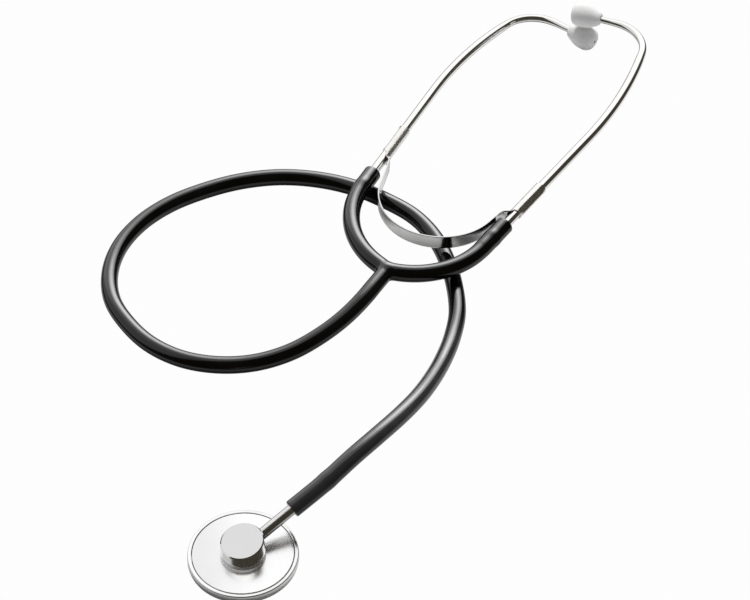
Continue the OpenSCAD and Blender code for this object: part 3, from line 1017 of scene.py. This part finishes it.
def makeSleeve(half):
    sizes = springSizes
    sides = 72
    length = sizes["sleeveLength"]
    inner, outer = sizes["sleeveRadius"] + 0.02, sizes["sleeveRadius"] + sizes["thickness"]
    flatAt = math.radians(sleeveLook["flatAt"])
    profile = [(3, inner), (0, inner), (0, outer - 0.15), (0.15, outer)]
    profile += [(far, outer) for far in np.linspace(1, length - 1, 24)]
    profile += [(length - 0.2, outer), (length, outer - 0.2), (length, inner), (length - 3, inner)]
    points = []
    for far, radius in profile:
        fade = ease(min(far, length - far), 0, sleeveLook["flatFade"])
        slant = half.sleeveCut * (1 - far / length)
        for k in range(sides):
            a = 2 * math.pi * k / sides
            flat = sleeveLook["flatDepth"] * outer / max(math.cos(a - flatAt), 0.2)
            r = radius - max(radius - flat, 0) * fade if radius > inner else radius
            points.append((r * math.cos(a), half.sleeveUp + far + slant * math.cos(a), r * math.sin(a)))
    faces = gridFaces(len(profile), sides)
    sleeve = makeMesh("spring_sleeve_" + half.name + "_skin", half.place(points), faces)
    sharpEdges(sleeve, 40)
    dress(sleeve, sleeveSteel)
    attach(sleeve, half.name + "_side")
    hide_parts("spring_sleeve_" + half.name)


springHalves = [makeSpringHalf(half) for half in halves]
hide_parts("leaf_spring")
for half in halves:
    makeSleeve(half)
print("spring made")


# Chest piece: a round plate with a shallow bell under it, its knurled ring, the slanted hub and the stem
headSizes = {
    "ringRadius": 24.0,
    "height": 4.5,
    "rim": 1.75,             # width of the ring round the plate
    "groove": 0.28,
    "plateLow": 1.4,         # height of the plate's bottom edge
    "plateEdge": 2.4,        # width of that edge
    "plateSlope": 0.8,       # width of the wall from that edge in to the bell
    "plateRound": 0.35,
    "thickness": (1.2, 1.6),         # of the plate at its middle and at the bell's edge
    "knurls": 250,
    "knurlDepth": 0.16,
    "knurlBand": (0.95, 1.05),       # where they start above the ring's bottom, and end below its top
    "knurlEdge": 0.15,       # from the knurls down to the plain bands beside them
    "knurlSlope": 0.2,
    "ringRound": 0.5,
    "ringLift": 0.25,
    "lip": 0.7,
    "openingRadius": 20.5,
}
hubSizes = {
    "radius": 9.85,
    "draft": 4.5,            # degrees
    "height": 8.3,           # at its middle, above the plate
    "tilt": 8.0,             # degrees, rising towards the stem
    "chamfer": 0.45,
    "footRadius": 9.5,
    "footHeight": 2.4,
    "lowerRound": 0.2,
    "dimple": 0.15,
}


# Points of a turned shape about the upright, from (radius, height) pairs
def turnedPoints(profile, sides):
    points = []
    for radius, height in profile:
        for k in range(sides):
            a = 2 * math.pi * k / sides
            points.append((radius * math.cos(a), radius * math.sin(a), height))
    return np.array(points)


def arc(across, height, radius, start, end, steps):
    angles = np.radians(np.linspace(start, end, steps))
    return [(across + radius * math.cos(a), height + radius * math.sin(a)) for a in angles]


def makePlate():
    sizes = headSizes
    top, low, rounding = sizes["height"], sizes["plateLow"], sizes["plateRound"]
    edge = sizes["ringRadius"] - sizes["rim"] - sizes["groove"]
    inner = edge - sizes["plateEdge"]
    middleThick, edgeThick = sizes["thickness"]
    profile = [(radius, top) for radius in (0.01, 9, 15, edge - 0.9)]
    profile += arc(edge - rounding, top - rounding, rounding, 90, 0, 6)
    profile += [(edge, low), (inner, low), (inner - sizes["plateSlope"], top - edgeThick)]
    profile.append((0.01, top - middleThick))
    sides = 160
    plate = makeMesh("head_plate_skin", turnedPoints(profile, sides), gridFaces(len(profile), sides))
    sharpEdges(plate, 30)
    dress(plate, plateMetal)
    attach(plate, "frame")
    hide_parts("head_plate")


def makeRing():
    sizes = headSizes
    outer, top, low, opening = sizes["ringRadius"], sizes["height"], sizes["ringLift"], sizes["openingRadius"]
    bore, band, rounding = outer - sizes["rim"], outer - sizes["knurlEdge"], sizes["ringRound"]
    lipTop = low + sizes["lip"]
    body = [(opening, lipTop), (opening, low + 0.1), (opening + 0.1, low)]
    body += arc(band - rounding, low + rounding, rounding, -90, 0, 5)
    start, end, slope = low + sizes["knurlBand"][0], top - sizes["knurlBand"][1], sizes["knurlSlope"]
    knurled = [(band, start - slope), (outer, start), (outer, end), (band, end + slope)]
    crown = [(band, top - rounding - 0.1)] + arc(band - rounding, top - rounding, rounding, 0, 90, 6)
    crown += arc(bore + 0.2, top - 0.2, 0.2, 90, 180, 5) + [(bore, lipTop)]
    profile = body + knurled + crown
    sides = sizes["knurls"] * 4
    points = turnedPoints(profile, sides).reshape(len(profile), sides, 3)
    cut = np.tile([0, 0.85, 1, 0.85], sizes["knurls"]) * sizes["knurlDepth"]
    for i in (len(body) + 1, len(body) + 2):
        points[i, :, :2] *= (1 - cut / outer)[:, None]
    ring = makeMesh("retaining_ring_skin", points.reshape(-1, 3), gridFaces(len(profile), sides, loop=True))
    sharpEdges(ring, 35)
    dress(ring, ringMetal)
    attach(ring, "ring")
    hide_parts("retaining_ring")


# Its rings run up the foot, out to the hub's lower edge, up the drafted side and in over the slanted top
def makeHub():
    sizes = hubSizes
    radius, chamfer, footHeight = sizes["radius"], sizes["chamfer"], sizes["footHeight"]
    tilt, draft = math.tan(math.radians(sizes["tilt"])), math.tan(math.radians(sizes["draft"]))
    turn = math.radians(stemSizes["turn"])
    sides = 144
    rim, circle = [], []
    for k in range(sides):
        a = 2 * math.pi * k / sides
        rise = tilt * math.cos(a - turn)
        rimRadius = (radius - (sizes["height"] - footHeight) * draft) / (1 + draft * rise)
        rim.append((rimRadius * math.cos(a), rimRadius * math.sin(a), sizes["height"] + rise * rimRadius))
        circle.append((math.cos(a), math.sin(a), 0))
    rim, circle = np.array(rim), np.array(circle)
    centre, step = np.array([0, 0, sizes["height"]]), np.array([0, 0, footHeight])
    low, foot, rounding = circle * radius + step, circle * sizes["footRadius"], sizes["lowerRound"]
    rings = [foot, foot + step, circle * (radius - rounding) + step]
    rings.append(circle * (radius - rounding / 4) + step * 1.03)
    tall = np.linalg.norm(rim - low, axis=1)[:, None]
    edge = rim - (rim - low) / tall * chamfer
    rings += [low + (edge - low) * t for t in np.linspace(0.04, 1, 9)]
    wide = np.linalg.norm(rim - centre, axis=1)[:, None]
    inward = rim + (centre - rim) / wide * chamfer
    rings += [centre + (inward - centre) * t for t in (1, 0.8, 0.6, 0.4, 0.2, 0.035)]
    rings.append(centre - [0, 0, sizes["dimple"]] + (inward - centre) * 0.004)
    points = np.concatenate(rings) + [0, 0, headSizes["height"]]
    faces = gridFaces(len(rings), sides) + [firstCap(sides), lastCap(len(rings), sides)]
    hub = makeMesh("hub_skin", points, faces)
    sharpEdges(hub, 25)
    dress(hub, hubMetal)
    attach(hub, "frame")
    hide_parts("hub")


def makeStem():
    sizes = stemSizes
    path = Path([stemPoint(sizes["inner"]), stemPoint(hoseEndFar + hoseSizes["barb"])], side=up)
    end, radius = path.length, sizes["radius"]
    profile = along(0, end - sizes["barbLength"], 2, radius)
    profile += [(end - sizes["barbPeak"], radius + sizes["barbRise"]), (end, radius - sizes["barbTaper"])]
    stem = sweep("stem_skin", path, profile, 48)
    dress(stem, stemMetal)
    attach(stem, "frame")
    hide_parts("stem")


makePlate()
makeRing()
makeHub()
makeStem()
dress(frame["nodes"]["diaphragm"], film)
print("chest piece made")


# Table, backdrop and light
roomLook = {
    "floorSize": 6.0,
    "floorPaint": colour(0.8),
    "floorSeen": colour(0.985),      # table and room, seen by the camera
    "glossPaint": colour(0.5),       # the table as the metal mirrors it
    "glossBack": 0.2,                # how much brighter where the metal mirrors its far side
    "farFloor": colour(0.05, 0.045, 0.035),
    "grazing": (0.15, 0.42),         # a reflection this flat sees the dark room past the table
    "dark": colour(0.05, 0.044, 0.033),      # the rest of the room, in gloss
    "diffuse": colour(0.33, 0.33, 0.335),    # the whole room, on dull surfaces
}


def makeFloor(look):
    half = look["floorSize"] / 2 / mm
    corners = [(-half, -half, 0), (half, -half, 0), (half, half, 0), (-half, half, 0)]
    floor = makeMesh("floor", corners, [(0, 1, 2, 3)])
    material, shader = newMaterial("floor")
    seen = shader.ray("Camera") + shader.ray("Transmission")
    glossy = shader.ray("Glossy")
    incoming = shader.node("ShaderNodeNewGeometry", {}, {}, "Incoming")
    steep = shader.dot(incoming, (0, 0, 1))
    back = shader.dot(incoming, (0, -1, 0))
    far = (1 - steep.between(*look["grazing"])) * glossy
    colourSeen = shader.mixColour(glossy, look["floorPaint"], look["glossPaint"])
    paint = shader.node("ShaderNodeBsdfDiffuse", {}, {"Color": colourSeen})
    sheen = shader.node("ShaderNodeEmission", {}, {
        "Color": colour(1.0), "Strength": back.between(-0.1, 0.45) * glossy * look["glossBack"]})
    lit = shader.node("ShaderNodeAddShader", {}, {0: paint, 1: sheen})
    dark = shader.node("ShaderNodeEmission", {}, {"Color": look["farFloor"], "Strength": 1.0})
    glow = shader.node("ShaderNodeEmission", {}, {"Color": look["floorSeen"], "Strength": 1.0})
    table = shader.node("ShaderNodeMixShader", {}, {0: far, 1: lit, 2: dark})
    both = shader.node("ShaderNodeMixShader", {}, {0: seen, 1: table, 2: glow})
    shader.node("ShaderNodeOutputMaterial", {}, {"Surface": both})
    floor.data.materials.append(material)


# What the metal sees: a white screen behind the object, a pale wall on its left, and a dark room in front.
# Here and for the lamps, a turn is in degrees from +Y towards -X, and a height in degrees up from the table.
# A screen fades out from its inner to its outer angle, and a lamp reaches to half its width.
roomGlow = [
    {"turn": 35, "height": 38, "inner": 41, "outer": 48, "glow": 1.1},
    {"turn": 100, "height": 38, "inner": 40, "outer": 46, "glow": 0.75},
]
# Lamps behind the object that only its black pieces see, as the gloss along the tubing
tubingLamps = [
    {"turn": 16, "height": 34, "half": 13, "glow": 4.0},
    {"turn": 16, "height": 34, "half": 20, "glow": 2.6},
    {"turn": 16, "height": 34, "half": 28, "glow": 2.0},
    {"turn": 45, "height": 22, "half": 34, "glow": 0.7},
]
# A lamp nearly overhead that only the hub sees, for the grey of its foot and of that in the plate's mirror
hubLamps = [
    {"turn": 211, "height": 72, "half": 26, "glow": 1.25},
]


def wayOf(glow):
    turn, height = math.radians(glow["turn"]), math.radians(glow["height"])
    return (-math.sin(turn) * math.cos(height), math.cos(turn) * math.cos(height), math.sin(height))


def makeWorld(look, glows):
    world = bpy.data.worlds.new("room")
    bpy.context.scene.world = world
    world.cycles.sampling_method = "NONE"
    shader = Shader(world)
    way = shader.node("ShaderNodeTexCoord", {}, {}, "Generated")
    shine = None
    for glow in glows:
        low, high = math.cos(math.radians(glow["outer"])), math.cos(math.radians(glow["inner"]))
        screen = shader.dot(way, wayOf(glow)).between(low, high) * glow["glow"]
        shine = screen if shine is None else shine.maths("MAXIMUM", screen)
    lit = shader.node("ShaderNodeCombineColor", {}, {0: shine, 1: shine, 2: shine})
    gloss = shader.node("ShaderNodeVectorMath", {"operation": "MAXIMUM"}, {
        0: lit, 1: look["dark"][:3]}, "Vector")
    seen = shader.mixColour(shader.ray("Glossy"), look["diffuse"], gloss)
    seen = shader.mixColour(shader.ray("Camera"), seen, look["floorSeen"])
    back = shader.node("ShaderNodeBackground", {}, {"Color": seen, "Strength": 1.0})
    shader.node("ShaderNodeOutputWorld", {}, {"Surface": back})


aim = Vector((-0.04, 0.16, 0.0))     # the spot on the table that every lamp faces
keyLamp = {"place": (-0.5, 1.2, 1.5), "size": 0.9, "power": 40}
linkedAway = 3.0
linkedStep = 0.05                    # how much further off each next one stands


# A round lamp, which gloss doesn't mirror unless that is switched on
def makeLamp(name, place, size, power):
    lamp = bpy.data.lights.new(name, "AREA")
    lamp.shape = "DISK"
    lamp.size = size
    lamp.energy = power
    piece = bpy.data.objects.new(name, lamp)
    piece.location = Vector(place)
    piece.rotation_euler = (aim - Vector(place)).to_track_quat("-Z", "Y").to_euler()
    piece.visible_glossy = False
    bpy.context.scene.collection.objects.link(piece)
    return piece


# Lamps that light only the pieces of one material
def makeLinkedLamps(name, lamps, seenBy):
    seers = bpy.data.collections.new(name + "_seers")
    for piece in bpy.data.objects:
        if piece.type == "MESH" and piece.data.materials and piece.data.materials[0] == seenBy:
            seers.objects.link(piece)
    for i, lamp in enumerate(lamps):
        away = linkedAway + linkedStep * i
        radius = away * math.tan(math.radians(lamp["half"]))
        place = aim + Vector(wayOf(lamp)) * away
        piece = makeLamp(name, place, 2 * radius, lamp["glow"] * (math.pi * radius) ** 2)
        piece.visible_glossy = True
        piece.visible_camera = False
        piece.light_linking.receiver_collection = seers


makeFloor(roomLook)
makeWorld(roomLook, roomGlow)
makeLamp("key", keyLamp["place"], keyLamp["size"], keyLamp["power"])
makeLinkedLamps("tubing_lamp", tubingLamps, tubing)
makeLinkedLamps("hub_lamp", hubLamps, hubMetal)
print("room made")
